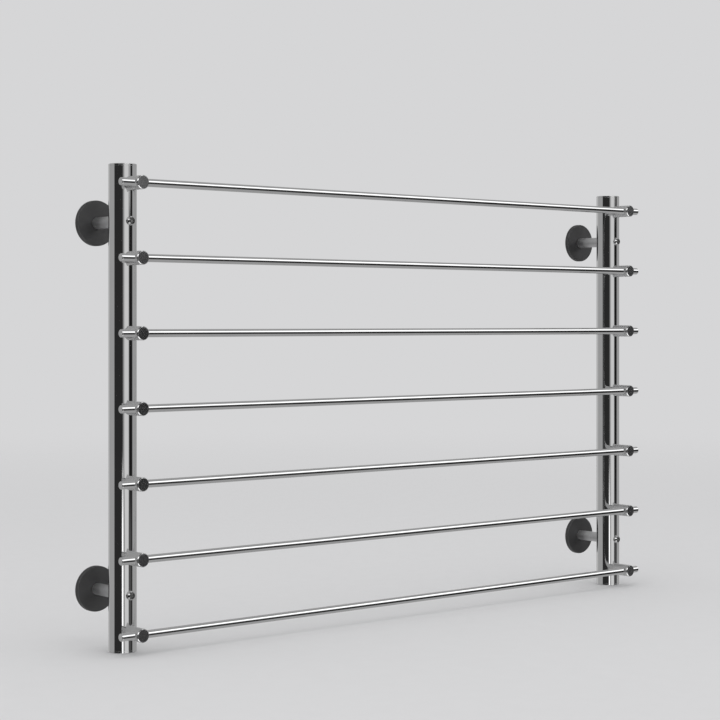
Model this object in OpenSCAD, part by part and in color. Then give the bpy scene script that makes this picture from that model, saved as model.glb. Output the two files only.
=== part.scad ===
// Window security bar: two upright posts on wall brackets, joined by a row of crossbars.
// +X runs along the crossbars to the right, +Y points into the wall and +Z points up.
// The origin is on the wall's surface, in the middle between the four brackets.
// All sizes are in millimetres.

/* [Layout] */
// Distance between the axes of the two posts
post_spacing = 1090; // [600:1:1600]
// Distance from the wall's surface to the axes of the posts
wall_distance = 77; // [64:0.5:140]
// Number of crossbars
bar_count = 7; // [4:1:7]
// Distance between the axes of two neighbouring crossbars
bar_pitch = 112; // [90:1:140]
// Distance from the outermost crossbar's axis to the end of the post
post_end = 30; // [20:1:60]
// How far the crossbars reach past the axis of the left post
left_overhang = 34; // [20:1:80]
// How far the crossbars reach past the axis of the right post
right_overhang = 28; // [20:1:80]
// Distance from a post's axis forward to the axes of the crossbars
bar_offset = 46; // [38:0.5:60]

/* [Posts] */
// Outer diameter of the post tube
post_d = 42.4; // [35:0.1:51]
// Wall thickness of the post tube
post_wall = 2; // [1.5:0.1:3]
// Thickness of the flat cap on the end of a post
cap_t = 3; // [2:0.5:5]
// Length of the cap's skirt inside the tube
cap_skirt = 10; // [6:1:16]
// Wall thickness of the cap's skirt
cap_skirt_wall = 2; // [1:0.1:3]
// Chamfer around the cap's outer face
cap_chamfer = 0.5; // [0.2:0.1:1]

/* [Crossbars] */
// Outer diameter of a crossbar tube
bar_d = 12; // [10:0.1:14.5]
// Wall thickness of a crossbar tube
bar_wall = 1; // [0.8:0.1:1.5]
// Thickness of the end plug's head, which is as wide as the bar
plug_head = 1.5; // [1:0.1:3]
// Length of the end plug inside the tube
plug_length = 10; // [5:1:20]
// Chamfer around the end plug's head
plug_chamfer = 0.8; // [0.3:0.1:1]

/* [Bar holders] */
// Diameter of the round bar holder
holder_d = 21; // [18:0.1:26]
// Distance from the crossbar's axis forward to the holder's front face
holder_nose = 10; // [8.5:0.1:14]
// Chamfer around the holder's front face
holder_chamfer = 1; // [0.3:0.1:1.5]
// Diameter of the clamp screw in the holder's underside
clamp_d = 5; // [4:1:6]
// Width across the flats of the clamp screw's hexagon socket
clamp_socket = 2.5; // [2:0.5:2.5]
// Depth of the clamp screw's hexagon socket
clamp_socket_depth = 1.4; // [0.8:0.1:1.5]
// How far the clamp screw's lower end lies inside the holder
clamp_recess = 0.5; // [0.3:0.1:1]
// Gap between the loosened clamp screw and the crossbar
clamp_gap = 0.3; // [0.3:0.1:0.6]

/* [Holder fastenings] */
// Diameter of the stud that holds a bar holder to the post
stud_d = 6; // [5:1:6]
// Length of the stud
stud_length = 25; // [20:1:30]
// Solid length left between the stud and the crossbar
stud_stop = 4; // [1:0.5:6]
// Outer diameter of the rivet nut's shank
nut_d = 9; // [8.4:0.1:9.5]
// Diameter of the rivet nut's flange and of its bulge inside the tube
nut_flange_d = 12; // [10:0.1:14]
// Thickness of the rivet nut's flange
nut_flange = 1; // [0.6:0.1:1.5]
// Length of the rivet nut's bulge inside the tube
nut_bulge = 3; // [2:0.5:5]
// Length of the rivet nut behind its bulge
nut_tail = 8; // [5:0.5:12]

/* [Wall brackets] */
// Diameter of the stem between the wall plate and the post
stem_d = 18; // [15:0.1:22]
// Diameter of the wall plate
plate_d = 60; // [54:0.5:64]
// Thickness of the wall plate
plate_t = 5; // [4.5:0.1:5.4]
// Depth of the wall plate's socket for the stem
plate_socket = 2; // [1:0.1:3]
// Number of screw holes in the wall plate
screw_count = 3; // [2:1:4]
// Diameter of the circle through the screw holes' centres
screw_circle = 42; // [38:0.5:44]
// Diameter of the screw holes
screw_hole_d = 6.5; // [4.5:0.1:7]
// Diameter of the screw holes' countersinks
countersink_d = 11.6; // [9:0.1:12]
// Diameter of the rosette that covers the wall plate
rosette_d = 70; // [68:0.5:85]
// Height of the rosette above the wall
rosette_h = 7; // [6.9:0.1:12]
// Sheet thickness of the rosette
rosette_wall = 1.2; // [0.8:0.1:1.4]
// Chamfer around the rosette's front edge
rosette_chamfer = 1; // [0.3:0.1:1.2]

/* [Bracket bolts] */
// Diameter of the bolt through a post into the stem
bolt_d = 8; // [6:1:8]
// Length of the bolt under its head
bolt_length = 60; // [55:1:70]
// Diameter of the bolt's domed head and of its washer
bolt_head_d = 14; // [12:0.1:16]
// Height of the bolt's domed head
bolt_head_h = 4.4; // [3.3:0.1:5]
// Diameter of the flat on top of the bolt's head
bolt_head_flat = 6.4; // [6:0.1:8]
// Height of the straight rim of the bolt's head
bolt_rim = 0.6; // [0.3:0.1:1]
// Width across the flats of the bolt's hexagon socket
bolt_socket = 5; // [4:0.5:5]
// Depth of the bolt's hexagon socket
bolt_socket_depth = 2.6; // [2:0.1:3]
// Thickness of the saddle washer on the line where it meets the post
washer_t = 1.5; // [1:0.1:3]

/* [Clearances] */
// Radial running clearance of a crossbar in its holders
bar_clearance = 0.06; // [0.03:0.01:0.1]
// Radial running clearance of a rosette on its stem
rosette_clearance = 0.05; // [0.03:0.01:0.1]
// Radial clearance of a screw in its thread, and of a plug or skirt in its tube
thread_clearance = 0.05; // [0.02:0.01:0.1]
// Radial clearance of a bracket bolt in the post and in its washer
bolt_clearance = 0.25; // [0.1:0.05:0.5]
// Clearance around the rivet nut's flange in the holder's back
flange_clearance = 0.3; // [0.2:0.1:0.5]
// Free depth left in front of a screw's end in a blind thread
thread_runout = 2; // [1:0.5:4]

/* [Hidden] */
$fn = 96;
sides = [["left", -1], ["right", 1]];
levels = [["top", 1], ["bottom", -1]];
bars = [1:bar_count];
post_r = post_d / 2;
post_length = (bar_count - 1) * bar_pitch + 2 * post_end;
tube_length = post_length - 2 * cap_t;
bar_reach = wall_distance + bar_offset;
holder_front = bar_reach + holder_nose;
bar_left = -post_spacing / 2 - left_overhang;
bar_right = post_spacing / 2 + right_overhang;
// The brackets sit halfway between the two outermost crossbars
bracket_z = (bar_count / 2 - 1) * bar_pitch;
stud_front = bar_reach - bar_d / 2 - stud_stop;
nut_seat = wall_distance + sqrt(pow(post_r - post_wall, 2) - pow(nut_flange_d / 2, 2));
bolt_seat = wall_distance + post_r + washer_t;
bolt_tip = bolt_seat - bolt_length;
// Centre of the ball that shapes the bolt's head, above the head's seat
dome_z = (pow(bolt_rim, 2) + pow(bolt_head_d / 2, 2) - pow(bolt_head_h, 2) - pow(bolt_head_flat / 2, 2))
    / (2 * (bolt_rim - bolt_head_h));
dome_r = norm([bolt_head_d / 2, bolt_rim - dome_z]);
cut = 1;

// Height of a crossbar's axis: the first bar is the highest
function bar_z(i) = ((bar_count + 1) / 2 - i) * bar_pitch;

// Sets its children out on a post's axis line, at a height
module on_post(side, z) {
    translate([side * post_spacing / 2, 0, z]) children();
}

// Turns a shape made along +Z to stand out from the wall, beginning at a distance from the wall
module outward(from) {
    translate([0, -from, 0]) rotate([90, 0, 0]) children();
}

// A rod that stands out from the wall between two distances from it
module rod_outward(d, from, to) {
    outward(from) cylinder(d = d, h = to - from);
}

// The space that a post fills, for the saddles that fit against it
module post_space() {
    translate([0, -wall_distance, 0]) cylinder(d = post_d, h = post_length, center = true);
}

// A hexagon socket cut along +Z, open at z = 0 and below
module hex_socket(flats, depth) {
    translate([0, 0, -cut]) cylinder(d = flats / cos(30), h = depth + cut, $fn = 6);
}

// Round tube with a row of holes for the holders' nuts and cross holes for the bracket bolts
module post(side) {
    color("silver") difference() {
        on_post(side, 0) translate([0, -wall_distance, 0]) difference() {
            cylinder(d = post_d, h = tube_length, center = true);
            cylinder(d = post_d - 2 * post_wall, h = tube_length + 2 * cut, center = true);
        }
        for (i = bars) on_post(side, bar_z(i)) rod_outward(nut_d, wall_distance, wall_distance + post_d);
        for (l = levels) on_post(side, l[1] * bracket_z)
            rod_outward(bolt_d + 2 * bolt_clearance, wall_distance - post_d, wall_distance + post_d);
    }
}

// Flat cap as wide as the post, with a skirt pressed into the tube's end
module post_cap(side, level) {
    skirt_r = post_r - post_wall - thread_clearance;
    color("silver") on_post(side, 0) translate([0, -wall_distance, 0])
        mirror([0, 0, level < 0 ? 1 : 0]) translate([0, 0, tube_length / 2]) union() {
            cylinder(d = post_d, h = cap_t - cap_chamfer);
            translate([0, 0, cap_t - cap_chamfer])
                cylinder(r1 = post_r, r2 = post_r - cap_chamfer, h = cap_chamfer);
            translate([0, 0, -cap_skirt]) difference() {
                cylinder(r = skirt_r, h = cap_skirt);
                translate([0, 0, -cut]) cylinder(r = skirt_r - cap_skirt_wall, h = cap_skirt + cut);
            }
        }
}

// Round steel plate with countersunk screw holes and a shallow socket for the stem
module wall_plate(side, level) {
    sink = (countersink_d - screw_hole_d) / 2;
    color("darkgray") on_post(side, level * bracket_z) outward(0) difference() {
        cylinder(d = plate_d, h = plate_t);
        translate([0, 0, plate_t - plate_socket]) cylinder(d = stem_d, h = plate_socket + cut);
        for (k = [1:screw_count]) rotate(90 + k * 360 / screw_count) translate([screw_circle / 2, 0, 0]) {
            translate([0, 0, -cut]) cylinder(d = screw_hole_d, h = plate_t + 2 * cut);
            translate([0, 0, plate_t - sink])
                cylinder(d1 = screw_hole_d, d2 = countersink_d + 2 * cut, h = sink + cut);
        }
    }
}

// Round stem with a saddle that fits the post and a threaded hole for the bolt
module stem(side, level) {
    color("darkgray") on_post(side, level * bracket_z) difference() {
        rod_outward(stem_d, plate_t - plate_socket, wall_distance);
        post_space();
        rod_outward(bolt_d + 2 * thread_clearance, bolt_tip - thread_runout, wall_distance);
    }
}

// Thin cover that slides on the stem and hides the wall plate and its screws
module rosette(side, level) {
    rosette_r = rosette_d / 2;
    color("dimgray") on_post(side, level * bracket_z) outward(0) difference() {
        union() {
            cylinder(r = rosette_r, h = rosette_h - rosette_chamfer);
            translate([0, 0, rosette_h - rosette_chamfer])
                cylinder(r1 = rosette_r, r2 = rosette_r - rosette_chamfer, h = rosette_chamfer);
        }
        translate([0, 0, -cut])
            cylinder(r = rosette_r - rosette_wall, h = rosette_h - rosette_wall + cut);
        cylinder(d = stem_d + 2 * rosette_clearance, h = rosette_h + cut);
    }
}

// Domed bolts with hexagon sockets, one at each bracket of a post
module bracket_bolts(side) {
    color("gainsboro") for (l = levels) on_post(side, l[1] * bracket_z) outward(bolt_seat) {
        translate([0, 0, -bolt_length]) cylinder(d = bolt_d, h = bolt_length);
        difference() {
            intersection() {
                cylinder(d = bolt_head_d, h = bolt_head_h);
                translate([0, 0, dome_z]) sphere(r = dome_r);
            }
            translate([0, 0, bolt_head_h]) mirror([0, 0, 1]) hex_socket(bolt_socket, bolt_socket_depth);
        }
    }
}

// Washers with a saddle back, which give each bolt's head a flat seat on the round post
module saddle_washers(side) {
    color("gainsboro") for (l = levels) on_post(side, l[1] * bracket_z) difference() {
        rod_outward(bolt_head_d, wall_distance, bolt_seat);
        post_space();
        rod_outward(bolt_d + 2 * bolt_clearance, wall_distance, bolt_seat + cut);
    }
}

// Round holder that stands on the post's front, with a cross bore for the crossbar
module bar_holder(side, i) {
    color("silver") on_post(side, bar_z(i)) difference() {
        outward(wall_distance) union() {
            cylinder(d = holder_d, h = holder_front - wall_distance - holder_chamfer);
            translate([0, 0, holder_front - wall_distance - holder_chamfer])
                cylinder(d1 = holder_d, d2 = holder_d - 2 * holder_chamfer, h = holder_chamfer);
        }
        post_space();
        rod_outward(nut_flange_d + 2 * flange_clearance, wall_distance,
            wall_distance + post_r + nut_flange + flange_clearance);
        rod_outward(stud_d + 2 * thread_clearance, wall_distance, stud_front + thread_clearance);
        translate([0, -bar_reach, 0]) rotate([0, 90, 0])
            cylinder(d = bar_d + 2 * bar_clearance, h = holder_d + 2 * cut, center = true);
        translate([0, -bar_reach, -holder_d / 2 - cut])
            cylinder(d = clamp_d + 2 * thread_clearance, h = holder_d / 2 + cut);
    }
}

// Studs that join each holder to its rivet nut
module holder_studs(side) {
    color("gray") for (i = bars) on_post(side, bar_z(i))
        rod_outward(stud_d, stud_front - stud_length, stud_front);
}

// Threaded rivet nuts in the post's front wall, each with its flange outside and its bulge inside
module rivet_nuts(side) {
    color("darkgray") for (i = bars) on_post(side, bar_z(i)) difference() {
        union() {
            rod_outward(nut_d, nut_seat - nut_bulge - nut_tail, wall_distance + post_r);
            rod_outward(nut_flange_d, nut_seat - nut_bulge, nut_seat);
            rod_outward(nut_flange_d, wall_distance + post_r, wall_distance + post_r + nut_flange);
        }
        rod_outward(stud_d + 2 * thread_clearance, nut_seat - nut_bulge - nut_tail - cut, holder_front);
    }
}

// Headless screws in the holders' undersides, loosened so that the crossbars can slide
module clamp_screws(side) {
    length = holder_d / 2 - clamp_recess - bar_d / 2 - clamp_gap;
    color("gray") for (i = bars) on_post(side, bar_z(i))
        translate([0, -bar_reach, clamp_recess - holder_d / 2]) difference() {
            cylinder(d = clamp_d, h = length);
            hex_socket(clamp_socket, clamp_socket_depth);
        }
}

// Round tube that passes crosswise through a left and a right holder
module crossbar(i) {
    color("silver") translate([bar_left + plug_head, -bar_reach, bar_z(i)]) rotate([0, 90, 0]) difference() {
        length = bar_right - bar_left - 2 * plug_head;
        cylinder(d = bar_d, h = length);
        translate([0, 0, -cut]) cylinder(d = bar_d - 2 * bar_wall, h = length + 2 * cut);
    }
}

// Flat-headed plugs that close both ends of a crossbar
module end_plugs(i) {
    color("gainsboro") for (end = [0, 1])
        translate([end == 0 ? bar_left : bar_right, -bar_reach, bar_z(i)])
            mirror([end, 0, 0]) rotate([0, 90, 0]) {
                cylinder(d1 = bar_d - 2 * plug_chamfer, d2 = bar_d, h = plug_chamfer);
                translate([0, 0, plug_chamfer]) cylinder(d = bar_d, h = plug_head - plug_chamfer);
                translate([0, 0, plug_head])
                    cylinder(d = bar_d - 2 * bar_wall - 2 * thread_clearance, h = plug_length);
            }
}

for (s = sides) {
    post(s[1]);
    bracket_bolts(s[1]);
    saddle_washers(s[1]);
    holder_studs(s[1]);
    rivet_nuts(s[1]);
    clamp_screws(s[1]);
}
for (s = sides, l = levels) {
    post_cap(s[1], l[1]);
    wall_plate(s[1], l[1]);
    stem(s[1], l[1]);
    rosette(s[1], l[1]);
}
for (s = sides, i = bars) {
    bar_holder(s[1], i);
}
for (i = bars) {
    crossbar(i);
    end_plugs(i);
}
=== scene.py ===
import math

import bmesh
import bpy
import numpy
from mathutils import Matrix, Vector


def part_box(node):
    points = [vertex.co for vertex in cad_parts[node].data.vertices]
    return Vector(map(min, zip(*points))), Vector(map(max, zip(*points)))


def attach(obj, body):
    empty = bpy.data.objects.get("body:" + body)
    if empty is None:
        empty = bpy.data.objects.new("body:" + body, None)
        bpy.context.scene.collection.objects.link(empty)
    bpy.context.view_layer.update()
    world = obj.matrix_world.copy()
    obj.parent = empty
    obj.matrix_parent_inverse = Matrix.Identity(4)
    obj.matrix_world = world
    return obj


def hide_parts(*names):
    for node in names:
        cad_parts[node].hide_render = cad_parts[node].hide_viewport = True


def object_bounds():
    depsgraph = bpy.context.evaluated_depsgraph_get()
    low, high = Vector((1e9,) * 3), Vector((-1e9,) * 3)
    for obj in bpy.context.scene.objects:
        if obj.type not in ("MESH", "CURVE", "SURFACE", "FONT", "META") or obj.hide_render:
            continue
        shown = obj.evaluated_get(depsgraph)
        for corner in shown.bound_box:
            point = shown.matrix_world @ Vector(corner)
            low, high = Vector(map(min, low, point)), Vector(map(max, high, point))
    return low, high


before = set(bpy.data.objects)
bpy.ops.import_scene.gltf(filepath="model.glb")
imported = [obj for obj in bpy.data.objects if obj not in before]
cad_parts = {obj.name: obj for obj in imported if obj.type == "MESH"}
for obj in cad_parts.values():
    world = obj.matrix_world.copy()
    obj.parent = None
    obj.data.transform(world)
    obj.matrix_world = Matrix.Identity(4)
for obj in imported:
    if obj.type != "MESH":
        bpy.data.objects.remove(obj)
cad_low, cad_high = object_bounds()

# ---------------------------------------------------------------------------------------------
# The viewpoint. A level camera stands out in the room, off to the guard's left and a little
# above its middle, and looks across it at a slant, so that the left post looks the larger.
# ---------------------------------------------------------------------------------------------
VIEW_TURN = -40.77
lens_data = bpy.data.cameras.new("viewpoint")
lens_data.sensor_width = 36.0
lens_data.lens = 91.85
lens_data.shift_y = -0.0528
viewpoint = bpy.data.objects.new("viewpoint", lens_data)
viewpoint.location = (-2.0777, -2.4011, 0.12875)
viewpoint.rotation_euler = (math.radians(90.0), 0.0, math.radians(VIEW_TURN))
bpy.context.scene.collection.objects.link(viewpoint)
bpy.context.scene.camera = viewpoint
bpy.context.scene.view_settings.view_transform = "Standard"


# ---------------------------------------------------------------------------------------------
# The studio around the guard: a plain pale backdrop, and soft light panels and dark drapes
# that stand far away on all sides, which is what polished steel shows.
# ---------------------------------------------------------------------------------------------
class Wire:
    """One value that runs between shader nodes; sums and products of wires add Math nodes."""

    def __init__(self, net, socket):
        self.net = net
        self.socket = socket

    def math(self, operation, *others):
        return self.net.add("ShaderNodeMath", {"operation": operation}, (self, *others))

    def part(self, name):
        """Another output of the same node."""
        return Wire(self.net, self.socket.node.outputs[name])

    def ramp(self, start, end):
        """Rises smoothly from 0 to 1 as the value goes from start to end."""
        inputs = {"Value": self, "From Min": start, "From Max": end}
        return self.net.add("ShaderNodeMapRange", {"interpolation_type": "SMOOTHSTEP"}, inputs)

    def within(self, limit, soft):
        """1 below the limit and 0 above it, with an edge that is soft to both sides."""
        return self.ramp(limit + soft, limit - soft)

    def __add__(self, other):
        return self.math("ADD", other)

    __radd__ = __add__

    def __mul__(self, other):
        return self.math("MULTIPLY", other)

    __rmul__ = __mul__

    def __sub__(self, other):
        return self.math("SUBTRACT", other)

    def __rsub__(self, other):
        return self.net.add("ShaderNodeMath", {"operation": "SUBTRACT"}, (other, self))


class Net:
    """The nodes of one material or world; add() makes any node and gives its output as a wire."""

    def __init__(self, owner):
        owner.use_nodes = True
        self.tree = owner.node_tree
        self.tree.nodes.clear()

    def add(self, kind, settings, inputs, output=0):
        node = self.tree.nodes.new(kind)
        for key, value in settings.items():
            setattr(node, key, value)
        pairs = inputs.items() if isinstance(inputs, dict) else enumerate(inputs)
        for key, value in pairs:
            if isinstance(value, Wire):
                self.tree.links.new(value.socket, node.inputs[key])
            else:
                node.inputs[key].default_value = value
        return Wire(self, node.outputs[output]) if node.outputs else None

    def blend(self, factor, first, second):
        """A colour between two colours."""
        return self.add("ShaderNodeMix", {"data_type": "RGBA"}, {0: factor, 6: first, 7: second}, 2)


studio = bpy.data.worlds.new("studio")
bpy.context.scene.world = studio
net = Net(studio)
heading = net.add("ShaderNodeTexCoord", {}, (), "Generated")
level_heading = net.add("ShaderNodeVectorMath", {"operation": "MULTIPLY"}, (heading, (1.0, 1.0, 0.0)))
level_heading = net.add("ShaderNodeVectorMath", {"operation": "NORMALIZE"}, (level_heading,))
height = net.add("ShaderNodeSeparateXYZ", {}, (heading,)).part("Z").math("ARCSINE").math("DEGREES")
ROOM_GREY = 0.375
BACKDROP = (0.672, 0.672, 0.680, 1.0)
AMBIENT = (0.93, 0.93, 0.93, 1.0)
TWICE_MIRRORED = 0.5
# Each panel or drape: the compass angle of its middle, its half width and the softness of its
# sides, then the height of its middle, its half height and the softness of its top and bottom,
# all in degrees, and its brightness.
HANGINGS = (
    (-146.25, 46.75, 2.0, -14.0, 25.0, 3.0, 0.026),
    (-88.7, 24.8, 14.0, -4.0, 44.0, 4.0, 0.69),
    (-110.0, 4.0, 4.0, -30.0, 24.8, 1.4, 0.25),
    (-53.5, 17.5, 6.0, -10.0, 18.0, 1.6, 0.012),
    (-63.0, 6.5, 1.0, 7.6, 4.2, 0.5, 0.40),
    (-60.0, 12.0, 4.0, -9.0, 3.2, 1.0, 0.075),
    (-34.0, 40.0, 3.0, -20.0, 7.6, 1.6, 0.016),
    (-122.0, 5.8, 0.8, -30.0, 24.8, 1.4, 1.4),
    (90.0, 12.0, 2.0, 0.0, 22.0, 2.0, 0.56),
    (127.5, 4.5, 1.0, -17.5, 6.5, 1.0, 0.04),
    (157.0, 9.0, 2.0, -28.0, 17.0, 1.0, 0.04),
    (-91.5, 68.5, 3.0, 29.5, 12.8, 1.2, 1.6),
    (-100.0, 50.0, 4.0, 62.0, 15.0, 2.0, 0.03),
    (-5.0, 40.0, 4.0, 69.5, 8.0, 1.0, 1.0),
    (-100.0, 50.0, 4.0, -57.0, 17.0, 3.0, 1.5),
)
brightness = ROOM_GREY
for middle, half, soft, tilt, half_tilt, soft_tilt, shine in HANGINGS:
    toward = (math.cos(math.radians(middle)), math.sin(math.radians(middle)), 0.0)
    pair = (level_heading, toward)
    facing = net.add("ShaderNodeVectorMath", {"operation": "DOT_PRODUCT"}, pair, "Value")
    across = facing.math("ARCCOSINE").math("DEGREES").within(half, soft)
    upright = (height - tilt).math("ABSOLUTE").within(half_tilt, soft_tilt)
    cover = across * upright
    brightness = brightness * (1.0 - cover) + shine * cover
# The camera sees the plain backdrop, dull surfaces are lit by an even grey, and only polished
# ones show the room and its hangings. Glossy Depth is 1 at the first mirror and 2 at the
# second, as where a holder's side mirrors the post; from there on no panel glares.
seen = net.add("ShaderNodeLightPath", {}, (), "Is Camera Ray")
mirrored = seen.part("Is Glossy Ray")
again = seen.part("Glossy Depth").ramp(1.0, 2.0)
brightness = brightness * (1.0 - again) + brightness.math("MINIMUM", TWICE_MIRRORED) * again
surroundings = net.blend(seen, net.blend(mirrored, AMBIENT, brightness), BACKDROP)
light = net.add("ShaderNodeBackground", {}, {"Color": surroundings, "Strength": 1.0})
net.add("ShaderNodeOutputWorld", {}, {"Surface": light})
studio.cycles.sampling_method = "NONE"

# ---------------------------------------------------------------------------------------------
# The floor: a plain pale studio floor just under the posts' ends. It thins out with distance,
# so that it joins the backdrop with no line, and polished steel doesn't show it.
# ---------------------------------------------------------------------------------------------
FLOOR_HALF = 9.0
FLOOR_GAP = 0.0006
FADE_START = 1.2
FADE_END = 5.5
floor_mesh = bpy.data.meshes.new("floor")
floor_z = cad_low.z - FLOOR_GAP
quarters = ((-1, -1), (1, -1), (1, 1), (-1, 1))
floor_corners = [(FLOOR_HALF * across, FLOOR_HALF * deep, floor_z) for across, deep in quarters]
floor_mesh.from_pydata(floor_corners, [], [(0, 1, 2, 3)])
floor = bpy.data.objects.new("floor", floor_mesh)
bpy.context.scene.collection.objects.link(floor)
pale_floor = bpy.data.materials.new("pale_floor")
net = Net(pale_floor)
spot = net.add("ShaderNodeTexCoord", {}, (), "Object")
distance = net.add("ShaderNodeVectorMath", {"operation": "LENGTH"}, (spot,), "Value")
speckle = net.add("ShaderNodeTexNoise", {}, {"Vector": spot, "Scale": 30.0, "Detail": 4.0})
paint = net.blend(speckle, (0.64, 0.64, 0.648, 1.0), (0.66, 0.66, 0.668, 1.0))
painted = net.add("ShaderNodeBsdfPrincipled", {}, {
    "Base Color": paint, "Roughness": 0.9, "Specular IOR Level": 0.0})
clear = net.add("ShaderNodeBsdfTransparent", {}, ())
faded = net.add("ShaderNodeMixShader", {}, (distance.ramp(FADE_START, FADE_END), painted, clear))
net.add("ShaderNodeOutputMaterial", {}, {"Surface": faded})
floor_mesh.materials.append(pale_floor)
floor.visible_glossy = False

# A wide soft lamp over the guard's front draws faint shadows on the floor.
lamp_data = bpy.data.lights.new("overhead_lamp", "AREA")
lamp_data.shape = "DISK"
lamp_data.size = 2.4
lamp_data.energy = 12.0
lamp = bpy.data.objects.new("overhead_lamp", lamp_data)
lamp.location = (-0.5, -1.1, 2.6)
lamp.rotation_euler = (math.radians(22.0), 0.0, math.radians(-24.0))
lamp.visible_glossy = False
bpy.context.scene.collection.objects.link(lamp)

# ---------------------------------------------------------------------------------------------
# The two posts: stainless steel tube of 42.4 by 2 mm, ground and polished to a mirror. The
# front wall is drilled for the rivet nuts, and both walls are cross drilled for the bolts.
# ---------------------------------------------------------------------------------------------
MM = 0.001
SIDES = ("left", "right")
LEVELS = ("top", "bottom")
BARS = range(1, 8)
ALONG = Vector((1.0, 0.0, 0.0))
INWARD = Vector((0.0, 1.0, 0.0))
UP = Vector((0.0, 0.0, 1.0))
FORWARD = Matrix.Rotation(math.radians(90.0), 4, "X")
SIDEWAYS = Matrix.Rotation(math.radians(90.0), 4, "Y")
# Sizes for turned and drilled shapes are plain millimetres; those with MM are metres.
POST_WALL = 2.0 * MM
NUT_HOLE = 4.5
BOLT_HOLE = 4.25
DRILL_REACH = 30.0


def middle_of(node):
    low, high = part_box(node)
    return (low + high) / 2


def plain(piece):
    """Turns a piece's modifiers into its mesh."""
    shown = piece.evaluated_get(bpy.context.evaluated_depsgraph_get())
    mesh = bpy.data.meshes.new_from_object(shown)
    piece.modifiers.clear()
    piece.data = mesh
    mesh.name = piece.name


def placed(name, mesh, place):
    """A new object whose mesh holds its place."""
    piece = bpy.data.objects.new(name, mesh)
    mesh.transform(place)
    bpy.context.scene.collection.objects.link(piece)
    return piece


def wire_up(tree, kind, settings, inputs):
    """Adds a geometry node with its settings, then its values or links."""
    node = tree.nodes.new(kind)
    for key, value in settings.items():
        setattr(node, key, value)
    for key, value in inputs.items():
        if isinstance(value, bpy.types.NodeSocket):
            tree.links.new(value, node.inputs[key])
        else:
            node.inputs[key].default_value = value
    return node


def new_tree(name, sockets):
    """A geometry tree with named inputs; gives the tree and its input node."""
    tree = bpy.data.node_groups.new(name, "GeometryNodeTree")
    for label, kind in sockets:
        tree.interface.new_socket(label, in_out="INPUT", socket_type=kind)
    tree.interface.new_socket("Geometry", in_out="OUTPUT", socket_type="NodeSocketGeometry")
    return tree, tree.nodes.new("NodeGroupInput")


def grown(piece, tree, values):
    """Runs a tree on a piece, with values for its named inputs, and keeps the result as a mesh."""
    modifier = piece.modifiers.new("shape", "NODES")
    modifier.node_group = tree
    for item in tree.interface.items_tree:
        if item.in_out == "INPUT" and item.name in values:
            modifier[item.identifier] = values[item.name]
    plain(piece)


def finished_tree(tree, given, shape):
    """Ends a tree with real geometry in the given material."""
    real = wire_up(tree, "GeometryNodeRealizeInstances", {}, {"Geometry": shape.outputs[0]})
    coated = wire_up(tree, "GeometryNodeSetMaterial", {}, {
        "Geometry": real.outputs[0], "Material": given.outputs["Material"]})
    wire_up(tree, "NodeGroupOutput", {}, {0: coated.outputs[0]})


tube_tree, given = new_tree("tube", (
    ("Outer radius", "NodeSocketFloat"), ("Wall", "NodeSocketFloat"), ("Length", "NodeSocketFloat"),
    ("Edge", "NodeSocketFloat"), ("Sides", "NodeSocketInt"), ("Material", "NodeSocketMaterial")))
half_wall = wire_up(tube_tree, "ShaderNodeMath", {"operation": "MULTIPLY"}, {
    0: given.outputs["Wall"], 1: 0.5})
wall_middle = wire_up(tube_tree, "ShaderNodeMath", {"operation": "SUBTRACT"}, {
    0: given.outputs["Outer radius"], 1: half_wall.outputs[0]})
ring = wire_up(tube_tree, "GeometryNodeCurvePrimitiveCircle", {}, {
    "Resolution": given.outputs["Sides"], "Radius": wall_middle.outputs[0]})
section = wire_up(tube_tree, "GeometryNodeCurvePrimitiveQuadrilateral", {}, {
    "Width": given.outputs["Wall"], "Height": given.outputs["Length"]})
eased = wire_up(tube_tree, "GeometryNodeFilletCurve", {"mode": "POLY"}, {
    "Curve": section.outputs[0], "Count": 2, "Radius": given.outputs["Edge"]})
swept = wire_up(tube_tree, "GeometryNodeCurveToMesh", {}, {
    "Curve": ring.outputs[0], "Profile Curve": eased.outputs[0]})
finished_tree(tube_tree, given, swept)

row_tree, given = new_tree("row_up_a_post", (
    ("Geometry", "NodeSocketGeometry"), ("Count", "NodeSocketInt"), ("Pitch", "NodeSocketFloat"),
    ("Material", "NodeSocketMaterial")))
gaps = wire_up(row_tree, "ShaderNodeMath", {"operation": "SUBTRACT"}, {
    0: given.outputs["Count"], 1: 1.0})
span = wire_up(row_tree, "ShaderNodeMath", {"operation": "MULTIPLY"}, {
    0: gaps.outputs[0], 1: given.outputs["Pitch"]})
lowest = wire_up(row_tree, "ShaderNodeMath", {"operation": "MULTIPLY"}, {0: span.outputs[0], 1: -0.5})
first = wire_up(row_tree, "ShaderNodeCombineXYZ", {}, {"Z": lowest.outputs[0]})
step = wire_up(row_tree, "ShaderNodeCombineXYZ", {}, {"Z": given.outputs["Pitch"]})
marks = wire_up(row_tree, "GeometryNodeMeshLine", {}, {
    "Count": given.outputs["Count"], "Start Location": first.outputs[0], "Offset": step.outputs[0]})
copies = wire_up(row_tree, "GeometryNodeInstanceOnPoints", {}, {
    "Points": marks.outputs[0], "Instance": given.outputs["Geometry"]})
finished_tree(row_tree, given, copies)


def tube(name, sizes, place):
    """A tube grown from the tube tree's named sizes, then put in place."""
    piece = placed(name, bpy.data.meshes.new(name), Matrix())
    grown(piece, tube_tree, sizes)
    piece.data.transform(place)
    return piece


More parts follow.
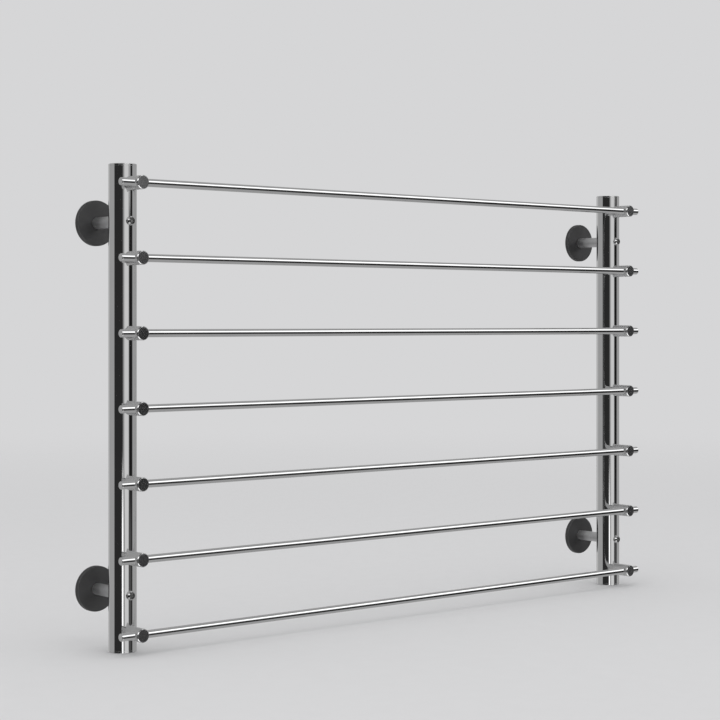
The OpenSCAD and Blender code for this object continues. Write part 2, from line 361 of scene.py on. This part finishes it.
def turned(name, outline, sides, place):
    """A solid turned on a lathe from (radius, height) or (radius, height, easing) points in mm.
    An eased corner is a short curve of four steps. An outline that starts off the axis closes
    on itself."""
    on_axis = 1e-6
    points = []
    for k, corner in enumerate(outline):
        here = Vector(corner[:2])
        if len(corner) == 2:
            points.append(here)
            continue
        back = (Vector(outline[k - 1][:2]) - here).normalized()
        onward = (Vector(outline[(k + 1) % len(outline)][:2]) - here).normalized()
        before = here + back * corner[2]
        after = here + onward * corner[2]
        points += [before.lerp(here, t).lerp(here.lerp(after, t), t)
                   for t in (0.0, 0.25, 0.5, 0.75, 1.0)]
    shape = bmesh.new()
    rings = []
    for radius, rise in points:
        if radius < on_axis:
            rings.append([shape.verts.new((0.0, 0.0, rise * MM))] * sides)
            continue
        angles = [2.0 * math.pi * k / sides for k in range(sides)]
        rings.append([shape.verts.new((radius * MM * math.cos(a), radius * MM * math.sin(a), rise * MM))
                      for a in angles])
    hollow = points[0][0] > on_axis
    for k in range(0 if hollow else 1, len(rings)):
        low, high = rings[k - 1], rings[k]
        for a in range(sides):
            b = (a + 1) % sides
            corners = dict.fromkeys((low[a], low[b], high[b], high[a]))
            if len(corners) > 2:
                shape.faces.new(corners)
    bmesh.ops.recalc_face_normals(shape, faces=shape.faces)
    mesh = bpy.data.meshes.new(name)
    shape.to_mesh(mesh)
    shape.free()
    return placed(name, mesh, place)


def drill(name, radius, low, high, sides, place):
    """A plain round cutter between two heights along its axis, in mm."""
    return turned(name, [(0.0, low), (radius, low), (radius, high), (0.0, high)], sides, place)


def cut(piece, *cutters):
    """Takes the cutters' shapes out of a piece and throws the cutters away."""
    for cutter in cutters:
        modifier = piece.modifiers.new("cut", "BOOLEAN")
        modifier.solver = "EXACT"
        modifier.object = cutter
        plain(piece)
        bpy.data.objects.remove(cutter)


def smoothed(piece, rounds=()):
    """Shades a piece as machined: flats flat, rounds truly round. A round is a point on its axis,
    the axis's direction and the radius in metres."""
    sharp_angle = math.radians(32.0)
    off_square = 0.03
    off_round = 0.04 * MM
    mesh = piece.data
    mesh.shade_smooth()
    mesh.set_sharp_from_angle(angle=sharp_angle)
    modifier = piece.modifiers.new("weights", "WEIGHTED_NORMAL")
    modifier.keep_sharp = True
    plain(piece)
    mesh = piece.data
    if not rounds:
        return
    normals = numpy.empty(len(mesh.loops) * 3, numpy.float32)
    mesh.corner_normals.foreach_get("vector", normals)
    normals = normals.reshape(-1, 3)
    for face in mesh.polygons:
        for point, axis, radius in rounds:
            if abs(face.normal.dot(axis)) > off_square:
                continue
            spokes = [mesh.vertices[v].co - point for v in face.vertices]
            spokes = [s - axis * s.dot(axis) for s in spokes]
            if max(abs(s.length - radius) for s in spokes) > off_round:
                continue
            outward = 1.0 if face.normal.dot(sum(spokes, Vector())) > 0 else -1.0
            for k, spoke in zip(face.loop_indices, spokes):
                normals[k] = spoke.normalized() * outward
            break
    mesh.normals_split_custom_set(normals.tolist())


CHAMFER = 1.0
FINISH_EDGE = 0.1 * MM


def polished_steel(name, across, front_y=None):
    """Mirror-polished stainless steel. The polishing belt's faint lines are squeezed by the given
    scales. A holder with its front at front_y has finely ground sides and a turned front whose grey
    is painted darker as painted shade, and only its chamfer is bright. One finish turns into the
    next within a few FINISH_EDGEs."""
    material = bpy.data.materials.new(name)
    net = Net(material)
    place = net.add("ShaderNodeTexCoord", {}, (), "Object")
    cloud = net.add("ShaderNodeTexNoise", {}, {
        "Vector": place, "Scale": 14.0, "Detail": 5.0, "Roughness": 0.6})
    squeezed = net.add("ShaderNodeMapping", {}, {"Vector": place, "Scale": across})
    lines = net.add("ShaderNodeTexNoise", {}, {
        "Vector": squeezed, "Scale": 1.0, "Detail": 6.0, "Roughness": 0.7})
    wipes = net.add("ShaderNodeTexNoise", {}, {"Vector": place, "Scale": 55.0, "Detail": 3.0})
    roughness = 0.030 + 0.035 * cloud.ramp(0.35, 0.75) + 0.030 * lines.ramp(0.45, 0.8)
    tone = (cloud * 0.5 + lines * 0.5).ramp(0.35, 0.65)
    colour = net.blend(tone, (0.765, 0.768, 0.775, 1.0), (0.815, 0.815, 0.815, 1.0))
    if front_y is not None:
        forward = net.add("ShaderNodeSeparateXYZ", {}, (place,)).part("Y")
        bevel_end = front_y + CHAMFER * MM
        side = forward.ramp(bevel_end, bevel_end + 3.0 * FINISH_EDGE)
        front = forward.ramp(front_y + 2.0 * FINISH_EDGE, front_y + FINISH_EDGE)
        roughness = roughness + side * (0.34 + 0.06 * lines) + front * (0.12 + 0.03 * wipes)
        # The turned front's darker grey is painted shade.
        colour = net.blend(front, colour, (0.60, 0.60, 0.61, 1.0))
    relief = net.add("ShaderNodeBump", {}, {"Strength": 0.02, "Distance": 0.00003, "Height": lines})
    shader = net.add("ShaderNodeBsdfPrincipled", {}, {
        "Base Color": colour, "Metallic": 1.0, "Roughness": roughness, "Normal": relief})
    net.add("ShaderNodeOutputMaterial", {}, {"Surface": shader})
    return material


holder_pitch = middle_of("left_holder_1").z - middle_of("left_holder_2").z
bracket_span = middle_of("top_left_stem").z - middle_of("bottom_left_stem").z
post_steel = polished_steel("polished_post_steel", (900.0, 900.0, 6.0))
post_axes = {}
for side in SIDES:
    low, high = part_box(f"{side}_post")
    axis = (low + high) / 2
    radius = (high.x - low.x) / 2
    post_axes[side] = (axis, radius)
    post = tube(f"{side}_post_tube", {
        "Outer radius": radius, "Wall": POST_WALL, "Length": high.z - low.z, "Edge": 0.12 * MM,
        "Sides": 144, "Material": post_steel}, Matrix.Translation(axis))
    stand = Matrix.Translation(axis) @ FORWARD
    nut_drill = drill("nut_drill", NUT_HOLE, 0.0, DRILL_REACH, 48, stand)
    grown(nut_drill, row_tree, {"Count": len(BARS), "Pitch": holder_pitch, "Material": post_steel})
    bolt_drill = drill("bolt_drill", BOLT_HOLE, -DRILL_REACH, DRILL_REACH, 48, stand)
    grown(bolt_drill, row_tree, {
        "Count": len(LEVELS), "Pitch": bracket_span, "Material": post_steel})
    cut(post, nut_drill, bolt_drill)
    smoothed(post, ((axis, UP, radius), (axis, UP, radius - POST_WALL)))
    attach(post, "frame")
    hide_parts(f"{side}_post")

# ---------------------------------------------------------------------------------------------
# The posts' end caps: flat discs of the same polished steel, as wide as the tube, with a
# turned skirt that is pressed into the tube's end.
# ---------------------------------------------------------------------------------------------
CAP_TOP = 3.0
CAP_BEVEL = 0.5
SKIRT_FOOT = -10.0
SKIRT_OUTER = 19.15
SKIRT_INNER = 17.1
for side in SIDES:
    axis, radius = post_axes[side]
    rim = radius / MM
    outline = [
        (0.0, 0.0), (SKIRT_INNER, 0.0), (SKIRT_INNER, SKIRT_FOOT, 0.3),
        (SKIRT_OUTER, SKIRT_FOOT, 0.4), (SKIRT_OUTER, 0.0), (rim, 0.0, 0.12),
        (rim, CAP_TOP - CAP_BEVEL, 0.18), (rim - CAP_BEVEL, CAP_TOP, 0.18), (0.0, CAP_TOP)]
    for level in LEVELS:
        low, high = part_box(f"{side}_post_{level}_cap")
        if level == "top":
            seat = high.z - CAP_TOP * MM
            turn = Matrix()
        else:
            seat = low.z + CAP_TOP * MM
            turn = Matrix.Rotation(math.pi, 4, "X")
        stand = Matrix.Translation((axis.x, axis.y, seat)) @ turn
        cap = turned(f"{side}_post_{level}_end_cap", outline, 144, stand)
        cap.data.materials.append(post_steel)
        smoothed(cap)
        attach(cap, "frame")
        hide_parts(f"{side}_post_{level}_cap")

# ---------------------------------------------------------------------------------------------
# The wall plates: round discs of 5 mm satin steel with three countersunk holes for the wall
# screws, and a shallow socket in front that the stem is welded into.
# ---------------------------------------------------------------------------------------------
PLATE_RADIUS = 30.0
PLATE_FRONT = 5.0
STEM_RADIUS = 9.0
STEM_SEAT = 3.0
HOLE_COUNT = 3
HOLE_RING_RADIUS = 21.0
SCREW_HOLE = 3.25
SINK_RADIUS = 5.8
# A cutter runs past the surface that it opens by this much.
OVERRUN = 1.0
# How finely the grinding lines lie beside each other, and how slowly they change along their run.
GRIND_LINES = 2600.0
GRIND_DRIFT = 40.0


def on_wall(node):
    """The point on the wall's surface that lies behind a node's middle."""
    point = middle_of(node)
    point.y = 0.0
    return point


def satin_steel(name, centre, tone, roughness, turned_face):
    """Satin stainless steel: ground in circles round the piece's own axis where turned_face is
    true, else brushed round the stem."""
    material = bpy.data.materials.new(name)
    net = Net(material)
    place = net.add("ShaderNodeTexCoord", {}, (), "Object")
    offset = net.add("ShaderNodeVectorMath", {"operation": "SUBTRACT"}, (place, tuple(centre)))
    flat = net.add("ShaderNodeVectorMath", {"operation": "MULTIPLY"}, (offset, (1.0, 0.0, 1.0)))
    reach = net.add("ShaderNodeVectorMath", {"operation": "LENGTH"}, (flat,), "Value")
    forward = net.add("ShaderNodeSeparateXYZ", {}, (offset,)).part("Y")
    track = reach if turned_face else forward
    path = net.add("ShaderNodeCombineXYZ", {}, {
        "X": track * GRIND_LINES, "Y": reach * GRIND_DRIFT, "Z": forward * GRIND_DRIFT})
    lines = net.add("ShaderNodeTexNoise", {}, {
        "Vector": path, "Scale": 1.0, "Detail": 5.0, "Roughness": 0.65})
    cloud = net.add("ShaderNodeTexNoise", {}, {
        "Vector": place, "Scale": 38.0, "Detail": 5.0, "Roughness": 0.6})
    darker = (tone * 0.86, tone * 0.86, tone * 0.87, 1.0)
    lighter = (tone * 1.1, tone * 1.1, tone * 1.11, 1.0)
    tint = net.blend((lines * 0.6 + cloud * 0.4).ramp(0.3, 0.7), darker, lighter)
    rough = roughness - 0.05 + 0.10 * lines.ramp(0.3, 0.7) + 0.05 * cloud.ramp(0.4, 0.7)
    relief = net.add("ShaderNodeBump", {}, {"Strength": 0.25, "Distance": 0.00006, "Height": lines})
    shader = net.add("ShaderNodeBsdfPrincipled", {}, {
        "Base Color": tint, "Metallic": 1.0, "Roughness": rough, "Normal": relief})
    net.add("ShaderNodeOutputMaterial", {}, {"Surface": shader})
    return material


for level in LEVELS:
    for side in SIDES:
        centre = on_wall(f"{level}_{side}_wall_plate")
        stand = Matrix.Translation(centre) @ FORWARD
        outline = [
            (0.0, 0.0), (PLATE_RADIUS, 0.0, 0.3), (PLATE_RADIUS, PLATE_FRONT, 0.5),
            (STEM_RADIUS, PLATE_FRONT, 0.2), (STEM_RADIUS, STEM_SEAT), (0.0, STEM_SEAT)]
        plate = turned(f"{level}_{side}_base_plate", outline, 128, stand)
        screw_hole = [
            (0.0, -OVERRUN), (SCREW_HOLE, -OVERRUN),
            (SCREW_HOLE, PLATE_FRONT - (SINK_RADIUS - SCREW_HOLE)),
            (SINK_RADIUS + OVERRUN, PLATE_FRONT + OVERRUN), (0.0, PLATE_FRONT + OVERRUN)]
        for k in range(HOLE_COUNT):
            turn = Matrix.Rotation(math.radians(90.0 + 360.0 * k / HOLE_COUNT), 4, "Z")
            spot = stand @ turn @ Matrix.Translation((HOLE_RING_RADIUS * MM, 0.0, 0.0))
            cut(plate, turned("screw_hole", screw_hole, 48, spot))
        plate_steel = satin_steel(f"satin_plate_{level}_{side}", centre, 0.46, 0.38, True)
        plate.data.materials.append(plate_steel)
        smoothed(plate)
        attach(plate, "frame")
        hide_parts(f"{level}_{side}_wall_plate")

# ---------------------------------------------------------------------------------------------
# The stems: short round bars of satin steel, welded into the wall plates. The front end is
# milled to the post's curve and tapped for the bolt.
# ---------------------------------------------------------------------------------------------
STEM_STOCK = 70.0
THREAD_RADIUS = 4.05
THREAD_FLOOR = 37.7


def post_bore(place, radius):
    """A cutter in the post's own shape, round a point on its axis, for what sits on the post."""
    return drill("post_bore", radius / MM, -DRILL_REACH, DRILL_REACH, 256, Matrix.Translation(place))


for level in LEVELS:
    for side in SIDES:
        axis, radius = post_axes[side]
        centre = on_wall(f"{level}_{side}_stem")
        stand = Matrix.Translation(centre) @ FORWARD
        outline = [
            (0.0, STEM_SEAT), (STEM_RADIUS, STEM_SEAT, 0.2), (STEM_RADIUS, STEM_STOCK),
            (0.0, STEM_STOCK)]
        stem = turned(f"{level}_{side}_standoff", outline, 96, stand)
        thread = drill("thread", THREAD_RADIUS, THREAD_FLOOR, STEM_STOCK + OVERRUN, 48, stand)
        cut(stem, post_bore((axis.x, axis.y, centre.z), radius), thread)
        stem_steel = satin_steel(f"satin_stem_{level}_{side}", centre, 0.80, 0.46, False)
        stem.data.materials.append(stem_steel)
        smoothed(stem, ((centre, INWARD, STEM_RADIUS * MM), (axis, UP, radius)))
        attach(stem, "frame")
        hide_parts(f"{level}_{side}_stem")

# ---------------------------------------------------------------------------------------------
# The rosettes: covers pressed from 1.2 mm sheet of satin steel, whose colour is painted dark as a
# painted reflection of dark surroundings. They slide along the stems and hide the wall plates and
# their screws. They are hollow at the back.
# ---------------------------------------------------------------------------------------------
ROSETTE_RADIUS = 35.0
ROSETTE_FRONT = 7.0
ROSETTE_SHEET = 1.2
ROSETTE_BORE = 9.05
inner = ROSETTE_RADIUS - ROSETTE_SHEET
under = ROSETTE_FRONT - ROSETTE_SHEET
outline = [
    (ROSETTE_BORE, under), (ROSETTE_BORE, ROSETTE_FRONT, 0.25), (ROSETTE_RADIUS, ROSETTE_FRONT, 1.3),
    (ROSETTE_RADIUS, 0.0, 0.3), (inner, 0.0, 0.2), (inner, under, 0.8)]
for level in LEVELS:
    for side in SIDES:
        centre = on_wall(f"{level}_{side}_rosette")
        stand = Matrix.Translation(centre) @ FORWARD
        rosette = turned(f"{level}_{side}_cover_disc", outline, 144, stand)
        # The tone of 0.14 is painted reflection: the steel is painted as dark as the surroundings it
        # mirrors.
        rosette_steel = satin_steel(f"satin_painted_dark_{level}_{side}", centre, 0.14, 0.50, True)
        rosette.data.materials.append(rosette_steel)
        smoothed(rosette)
        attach(rosette, f"{level}_{side}_rosette")
        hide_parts(f"{level}_{side}_rosette")

# ---------------------------------------------------------------------------------------------
# The bracket bolts: stainless M8 bolts with low domed heads and hexagon sockets. Each goes
# through both walls of the post into a stem. There are two to a post.
# ---------------------------------------------------------------------------------------------
WASHER_SEAT = 22.7
BOLT_RADIUS = 4.0
BOLT_TIP = -60.0
POINT_TAPER = 0.6
POINT_LENGTH = 0.8
HEAD_RADIUS = 7.0
HEAD_RIM = 0.6
HEAD_TOP = 4.4
HEAD_FLAT = 3.2
HEAD_EASE = 0.15
DOME_STEPS = 12
KEY_FLATS = 5.0
KEY_FLOOR = 1.8
KEY_END = 6.0
MOUTH_NARROW = 2.55
MOUTH_WIDE = 3.1
MOUTH_LOW = 4.15
MOUTH_HIGH = 4.7
# How far from the bolt's axis the socket's painted shade and the dome's painted dark reflection
# reach, how far below the flat top the socket's painted grey begins, and how far below it the
# dome's painted dark ends.
SOCKET_REACH = 3.0 * MM
SOCKET_DEEP = 0.35 * MM
DARK_DOME_REACH = 5.2 * MM
DOME_DEEP = 4.2 * MM


def bolt_steel(name, centre, span):
    """Polished bolt steel. Each dome is painted near-black within a bright rim, as a painted dark
    reflection, and is dull there; its socket is painted grey as painted shade, and is rough. The
    centre is the upper bolt's flat top, and the second bolt sits a span below it."""
    material = bpy.data.materials.new(name)
    net = Net(material)
    place = net.add("ShaderNodeTexCoord", {}, (), "Object")
    offset = net.add("ShaderNodeVectorMath", {"operation": "SUBTRACT"}, (place, tuple(centre)))
    parts = net.add("ShaderNodeSeparateXYZ", {}, (offset,))
    rise = (parts.part("Z") + span / 2).math("ABSOLUTE") - span / 2
    flat = net.add("ShaderNodeCombineXYZ", {}, {"X": parts, "Y": rise})
    reach = net.add("ShaderNodeVectorMath", {"operation": "LENGTH"}, (flat,), "Value")
    depth = parts.part("Y")
    below_top = 1.0 - depth.within(SOCKET_DEEP, 2.0 * FINISH_EDGE)
    inside = reach.within(SOCKET_REACH, FINISH_EDGE) * below_top
    painted_dark_dome = reach.within(DARK_DOME_REACH, FINISH_EDGE) * (1.0 - inside)
    painted_dark_dome = painted_dark_dome * depth.within(DOME_DEEP, 2.0 * FINISH_EDGE)
    path = net.add("ShaderNodeCombineXYZ", {}, {"X": reach * 3000.0, "Y": depth * 900.0})
    rings = net.add("ShaderNodeTexNoise", {}, {"Vector": path, "Scale": 1.0, "Detail": 4.0})
    scuffs = net.add("ShaderNodeTexNoise", {}, {"Vector": place, "Scale": 420.0, "Detail": 5.0})
    shine = net.blend(scuffs.ramp(0.3, 0.7), (0.70, 0.70, 0.71, 1.0), (0.79, 0.79, 0.79, 1.0))
    # Painted shade: the socket's grey. Painted dark reflection: the dome's near-black.
    socket_painted_shade = net.blend(inside, shine, (0.42, 0.42, 0.42, 1.0))
    tint = net.blend(painted_dark_dome, socket_painted_shade, (0.11, 0.11, 0.11, 1.0))
    roughness = 0.05 + 0.05 * rings + 0.04 * scuffs + 0.34 * inside + 0.13 * painted_dark_dome
    relief = net.add("ShaderNodeBump", {}, {"Strength": 0.04, "Distance": 0.00003, "Height": rings})
    shader = net.add("ShaderNodeBsdfPrincipled", {}, {
        "Base Color": tint, "Metallic": 1.0, "Roughness": roughness, "Normal": relief})
    net.add("ShaderNodeOutputMaterial", {}, {"Surface": shader})
    return material


def key_socket(flats, low, high, place):
    """A hexagon cutter for a key of the given width, between two heights along its axis, in mm."""
    return drill("socket", flats / math.sqrt(3.0), low, high, 6, place)


# The dome is part of a ball that meets the rim at one height and the flat top at another.
dome_middle = HEAD_RIM ** 2 + HEAD_RADIUS ** 2 - HEAD_TOP ** 2 - HEAD_FLAT ** 2
dome_middle /= 2.0 * (HEAD_RIM - HEAD_TOP)
dome_radius = math.hypot(HEAD_RADIUS, HEAD_RIM - dome_middle)
outline = [
    (0.0, BOLT_TIP), (BOLT_RADIUS - POINT_TAPER, BOLT_TIP), (BOLT_RADIUS, BOLT_TIP + POINT_LENGTH),
    (BOLT_RADIUS, 0.0), (HEAD_RADIUS - HEAD_EASE, 0.0), (HEAD_RADIUS, HEAD_EASE)]
for k in range(DOME_STEPS):
    reach = HEAD_RADIUS + (HEAD_FLAT - HEAD_RADIUS) * k / DOME_STEPS
    outline.append((reach, dome_middle + math.sqrt(dome_radius ** 2 - reach ** 2)))
outline += [(HEAD_FLAT, HEAD_TOP, HEAD_EASE), (0.0, HEAD_TOP)]
mouth_outline = [
    (0.0, MOUTH_LOW), (MOUTH_NARROW, MOUTH_LOW), (MOUTH_WIDE, MOUTH_HIGH), (0.0, MOUTH_HIGH)]
bolt_painted_steel = {}
for side in SIDES:
    axis, radius = post_axes[side]
    stand = Matrix.Translation(axis) @ FORWARD
    seat = stand @ Matrix.Translation((0.0, 0.0, WASHER_SEAT * MM))
    bolts = turned(f"{side}_post_bolts", outline, 96, seat)
    mouth = turned("mouth", mouth_outline, 96, seat)
    cut(bolts, key_socket(KEY_FLATS, KEY_FLOOR, KEY_END, seat), mouth)
    smoothed(bolts)
    head_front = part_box(f"{side}_bracket_bolts")[0].y
    top = Vector((axis.x, head_front, axis.z + bracket_span / 2))
    bolt_painted_steel[side] = bolt_steel(f"bolt_steel_painted_dark_dome_{side}", top, bracket_span)
    grown(bolts, row_tree, {
        "Count": len(LEVELS), "Pitch": bracket_span, "Material": bolt_painted_steel[side]})
    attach(bolts, "frame")
    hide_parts(f"{side}_bracket_bolts")

# ---------------------------------------------------------------------------------------------
# The saddle washers: turned stainless washers under the bolts' heads, hollowed at the back to
# the post's curve so that a flat head seats on a round tube.
# ---------------------------------------------------------------------------------------------
WASHER_BACK = 15.0
outline = [
    (BOLT_HOLE, WASHER_BACK), (BOLT_HOLE, WASHER_SEAT), (HEAD_RADIUS, WASHER_SEAT, HEAD_EASE),
    (HEAD_RADIUS, WASHER_BACK)]
for side in SIDES:
    axis, radius = post_axes[side]
    washers = turned(f"{side}_bolt_saddles", outline, 96, Matrix.Translation(axis) @ FORWARD)
    cut(washers, post_bore(axis, radius))
    smoothed(washers, ((axis, INWARD, HEAD_RADIUS * MM), (axis, UP, radius)))
    grown(washers, row_tree, {
        "Count": len(LEVELS), "Pitch": bracket_span, "Material": bolt_painted_steel[side]})
    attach(washers, "frame")
    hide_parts(f"{side}_saddle_washers")

# ---------------------------------------------------------------------------------------------
# The bar holders: round bars of polished steel that stand on the post's front, seven to a
# post. Each is cross bored for the crossbar, hollowed at the back, and faced on a lathe.
# ---------------------------------------------------------------------------------------------
HOLDER_RADIUS = 10.5
HOLDER_BACK = 10.0
HOLDER_FRONT = 56.0
BAR_FORWARD = 46.0
BAR_BORE = 6.06
FLANGE_BORE = 6.3
FLANGE_FLOOR = 22.5
STUD_BORE = 3.05
STUD_FLOOR = 36.05
CLAMP_BORE = 2.55
holder_front_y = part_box("left_holder_1")[0].y
holder_steel = polished_steel("polished_holder_steel", (60.0, 900.0, 60.0), holder_front_y)
outline = [
    (0.0, HOLDER_BACK), (HOLDER_RADIUS, HOLDER_BACK), (HOLDER_RADIUS, HOLDER_FRONT - CHAMFER, 0.25),
    (HOLDER_RADIUS - CHAMFER, HOLDER_FRONT, 0.2), (0.0, HOLDER_FRONT)]
for side in SIDES:
    axis, radius = post_axes[side]
    stand = Matrix.Translation(axis) @ FORWARD
    holders = turned(f"{side}_bar_holders", outline, 128, stand)
    flange_bore = drill("flange_bore", FLANGE_BORE, HOLDER_BACK, FLANGE_FLOOR, 64, stand)
    stud_bore = drill("stud_bore", STUD_BORE, HOLDER_BACK, STUD_FLOOR, 48, stand)
    bar_axis = Vector((axis.x, axis.y - BAR_FORWARD * MM, axis.z))
    crossing = Matrix.Translation(bar_axis)
    bar_bore = drill("bar_bore", BAR_BORE, -DRILL_REACH, DRILL_REACH, 128, crossing @ SIDEWAYS)
    clamp_bore = drill("clamp_bore", CLAMP_BORE, -DRILL_REACH, 0.0, 48, crossing)
    cut(holders, post_bore(axis, radius), flange_bore, stud_bore, bar_bore, clamp_bore)
    smoothed(holders, (
        (axis, INWARD, HOLDER_RADIUS * MM), (axis, UP, radius), (bar_axis, ALONG, BAR_BORE * MM),
        (bar_axis, UP, CLAMP_BORE * MM), (axis, INWARD, FLANGE_BORE * MM),
        (axis, INWARD, STUD_BORE * MM)))
    grown(holders, row_tree, {"Count": len(BARS), "Pitch": holder_pitch, "Material": holder_steel})
    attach(holders, "frame")
    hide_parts(*(f"{side}_holder_{k}" for k in BARS))

# ---------------------------------------------------------------------------------------------
# The clamp screws: headless M5 screws with hexagon sockets in the holders' undersides. They
# grip the crossbars, and are drawn backed off by a hair.
# ---------------------------------------------------------------------------------------------
CLAMP_RADIUS = 2.5
CLAMP_FOOT = -10.0
CLAMP_TIP = -6.3
FOOT_BEVEL = 0.4
TIP_BEVEL = 0.6
CLAMP_KEY = 2.5
CLAMP_KEY_FLOOR = -8.6
outline = [
    (0.0, CLAMP_FOOT), (CLAMP_RADIUS - FOOT_BEVEL, CLAMP_FOOT, 0.1),
    (CLAMP_RADIUS, CLAMP_FOOT + FOOT_BEVEL, 0.1), (CLAMP_RADIUS, CLAMP_TIP - TIP_BEVEL, 0.1),
    (CLAMP_RADIUS - TIP_BEVEL, CLAMP_TIP), (0.0, CLAMP_TIP)]
for side in SIDES:
    axis = middle_of(f"{side}_clamp_screws")
    axis.z = post_axes[side][0].z
    stand = Matrix.Translation(axis)
    screws = turned(f"{side}_grub_screws", outline, 64, stand)
    cut(screws, key_socket(CLAMP_KEY, CLAMP_FOOT - OVERRUN, CLAMP_KEY_FLOOR, stand))
    smoothed(screws)
    grown(screws, row_tree, {"Count": len(BARS), "Pitch": holder_pitch, "Material": bolt_painted_steel[side]})
    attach(screws, "frame")
    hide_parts(f"{side}_clamp_screws")

# ---------------------------------------------------------------------------------------------
# The studs and rivet nuts: zinc-plated fastenings hidden in the posts and holders. The rivet
# nuts are squeezed onto the tube's front wall, and each stud ties a holder to its nut.
# ---------------------------------------------------------------------------------------------
zinc_plate = bpy.data.materials.new("zinc_plate")
net = Net(zinc_plate)
place = net.add("ShaderNodeTexCoord", {}, (), "Object")
spangle = net.add("ShaderNodeTexVoronoi", {"feature": "F1"}, {
    "Vector": place, "Scale": 900.0}, "Distance")
cloud = net.add("ShaderNodeTexNoise", {}, {"Vector": place, "Scale": 120.0, "Detail": 5.0})
tint = net.blend(cloud.ramp(0.35, 0.7), (0.52, 0.54, 0.57, 1.0), (0.68, 0.69, 0.70, 1.0))
grain = net.add("ShaderNodeBump", {}, {"Strength": 0.15, "Distance": 0.00005, "Height": spangle})
roughness = 0.26 + 0.16 * cloud + 0.08 * spangle
shader = net.add("ShaderNodeBsdfPrincipled", {}, {
    "Base Color": tint, "Metallic": 1.0, "Roughness": roughness, "Normal": grain})
net.add("ShaderNodeOutputMaterial", {}, {"Surface": shader})
for side in SIDES:
    for kind in ("holder_studs", "rivet_nuts"):
        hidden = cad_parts[f"{side}_{kind}"]
        hidden.data.materials.clear()
        hidden.data.materials.append(zinc_plate)

# ---------------------------------------------------------------------------------------------
# The seven crossbars: polished stainless tube of 12 by 1 mm, cut square. Each slides through
# its two holders by itself.
# ---------------------------------------------------------------------------------------------
BAR_WALL = 1.0 * MM
bar_steel = polished_steel("polished_bar_steel", (5.0, 900.0, 900.0))
for k in BARS:
    low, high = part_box(f"crossbar_{k}")
    rail = tube(f"rail_{k}", {
        "Outer radius": (high.z - low.z) / 2, "Wall": BAR_WALL, "Length": high.x - low.x,
        "Edge": 0.08 * MM, "Sides": 96, "Material": bar_steel},
        Matrix.Translation((low + high) / 2) @ SIDEWAYS)
    smoothed(rail)
    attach(rail, f"crossbar_{k}")
    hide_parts(f"crossbar_{k}")

# ---------------------------------------------------------------------------------------------
# The crossbars' end plugs: turned discs as wide as the bar, with a shank pressed into the
# tube. Each bar has one at each end.
# ---------------------------------------------------------------------------------------------
PLUG_RADIUS = 6.0
PLUG_BEVEL = 0.8
PLUG_HEAD = 1.5
SHANK_RADIUS = 4.95
SHANK_END = 11.5
outline = [
    (0.0, 0.0), (PLUG_RADIUS - PLUG_BEVEL, 0.0, 0.2), (PLUG_RADIUS, PLUG_BEVEL, 0.2),
    (PLUG_RADIUS, PLUG_HEAD, 0.08), (SHANK_RADIUS, PLUG_HEAD), (SHANK_RADIUS, SHANK_END, 0.3),
    (0.0, SHANK_END)]
plug_steel = polished_steel("polished_plug_steel", (60.0, 900.0, 900.0))
for k in BARS:
    low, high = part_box(f"crossbar_{k}_end_plugs")
    middle = (low + high) / 2
    ends = []
    for x, turn in ((low.x, 90.0), (high.x, -90.0)):
        facing_in = Matrix.Rotation(math.radians(turn), 4, "Y")
        place = Matrix.Translation((x, middle.y, middle.z)) @ facing_in
        ends.append(turned(f"rail_{k}_end_plugs", outline, 96, place))
    joined = bmesh.new()
    for end in ends:
        joined.from_mesh(end.data)
    plugs = ends[0]
    joined.to_mesh(plugs.data)
    joined.free()
    bpy.data.objects.remove(ends[1])
    plugs.data.materials.append(plug_steel)
    smoothed(plugs)
    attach(plugs, f"crossbar_{k}")
    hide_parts(f"crossbar_{k}_end_plugs")
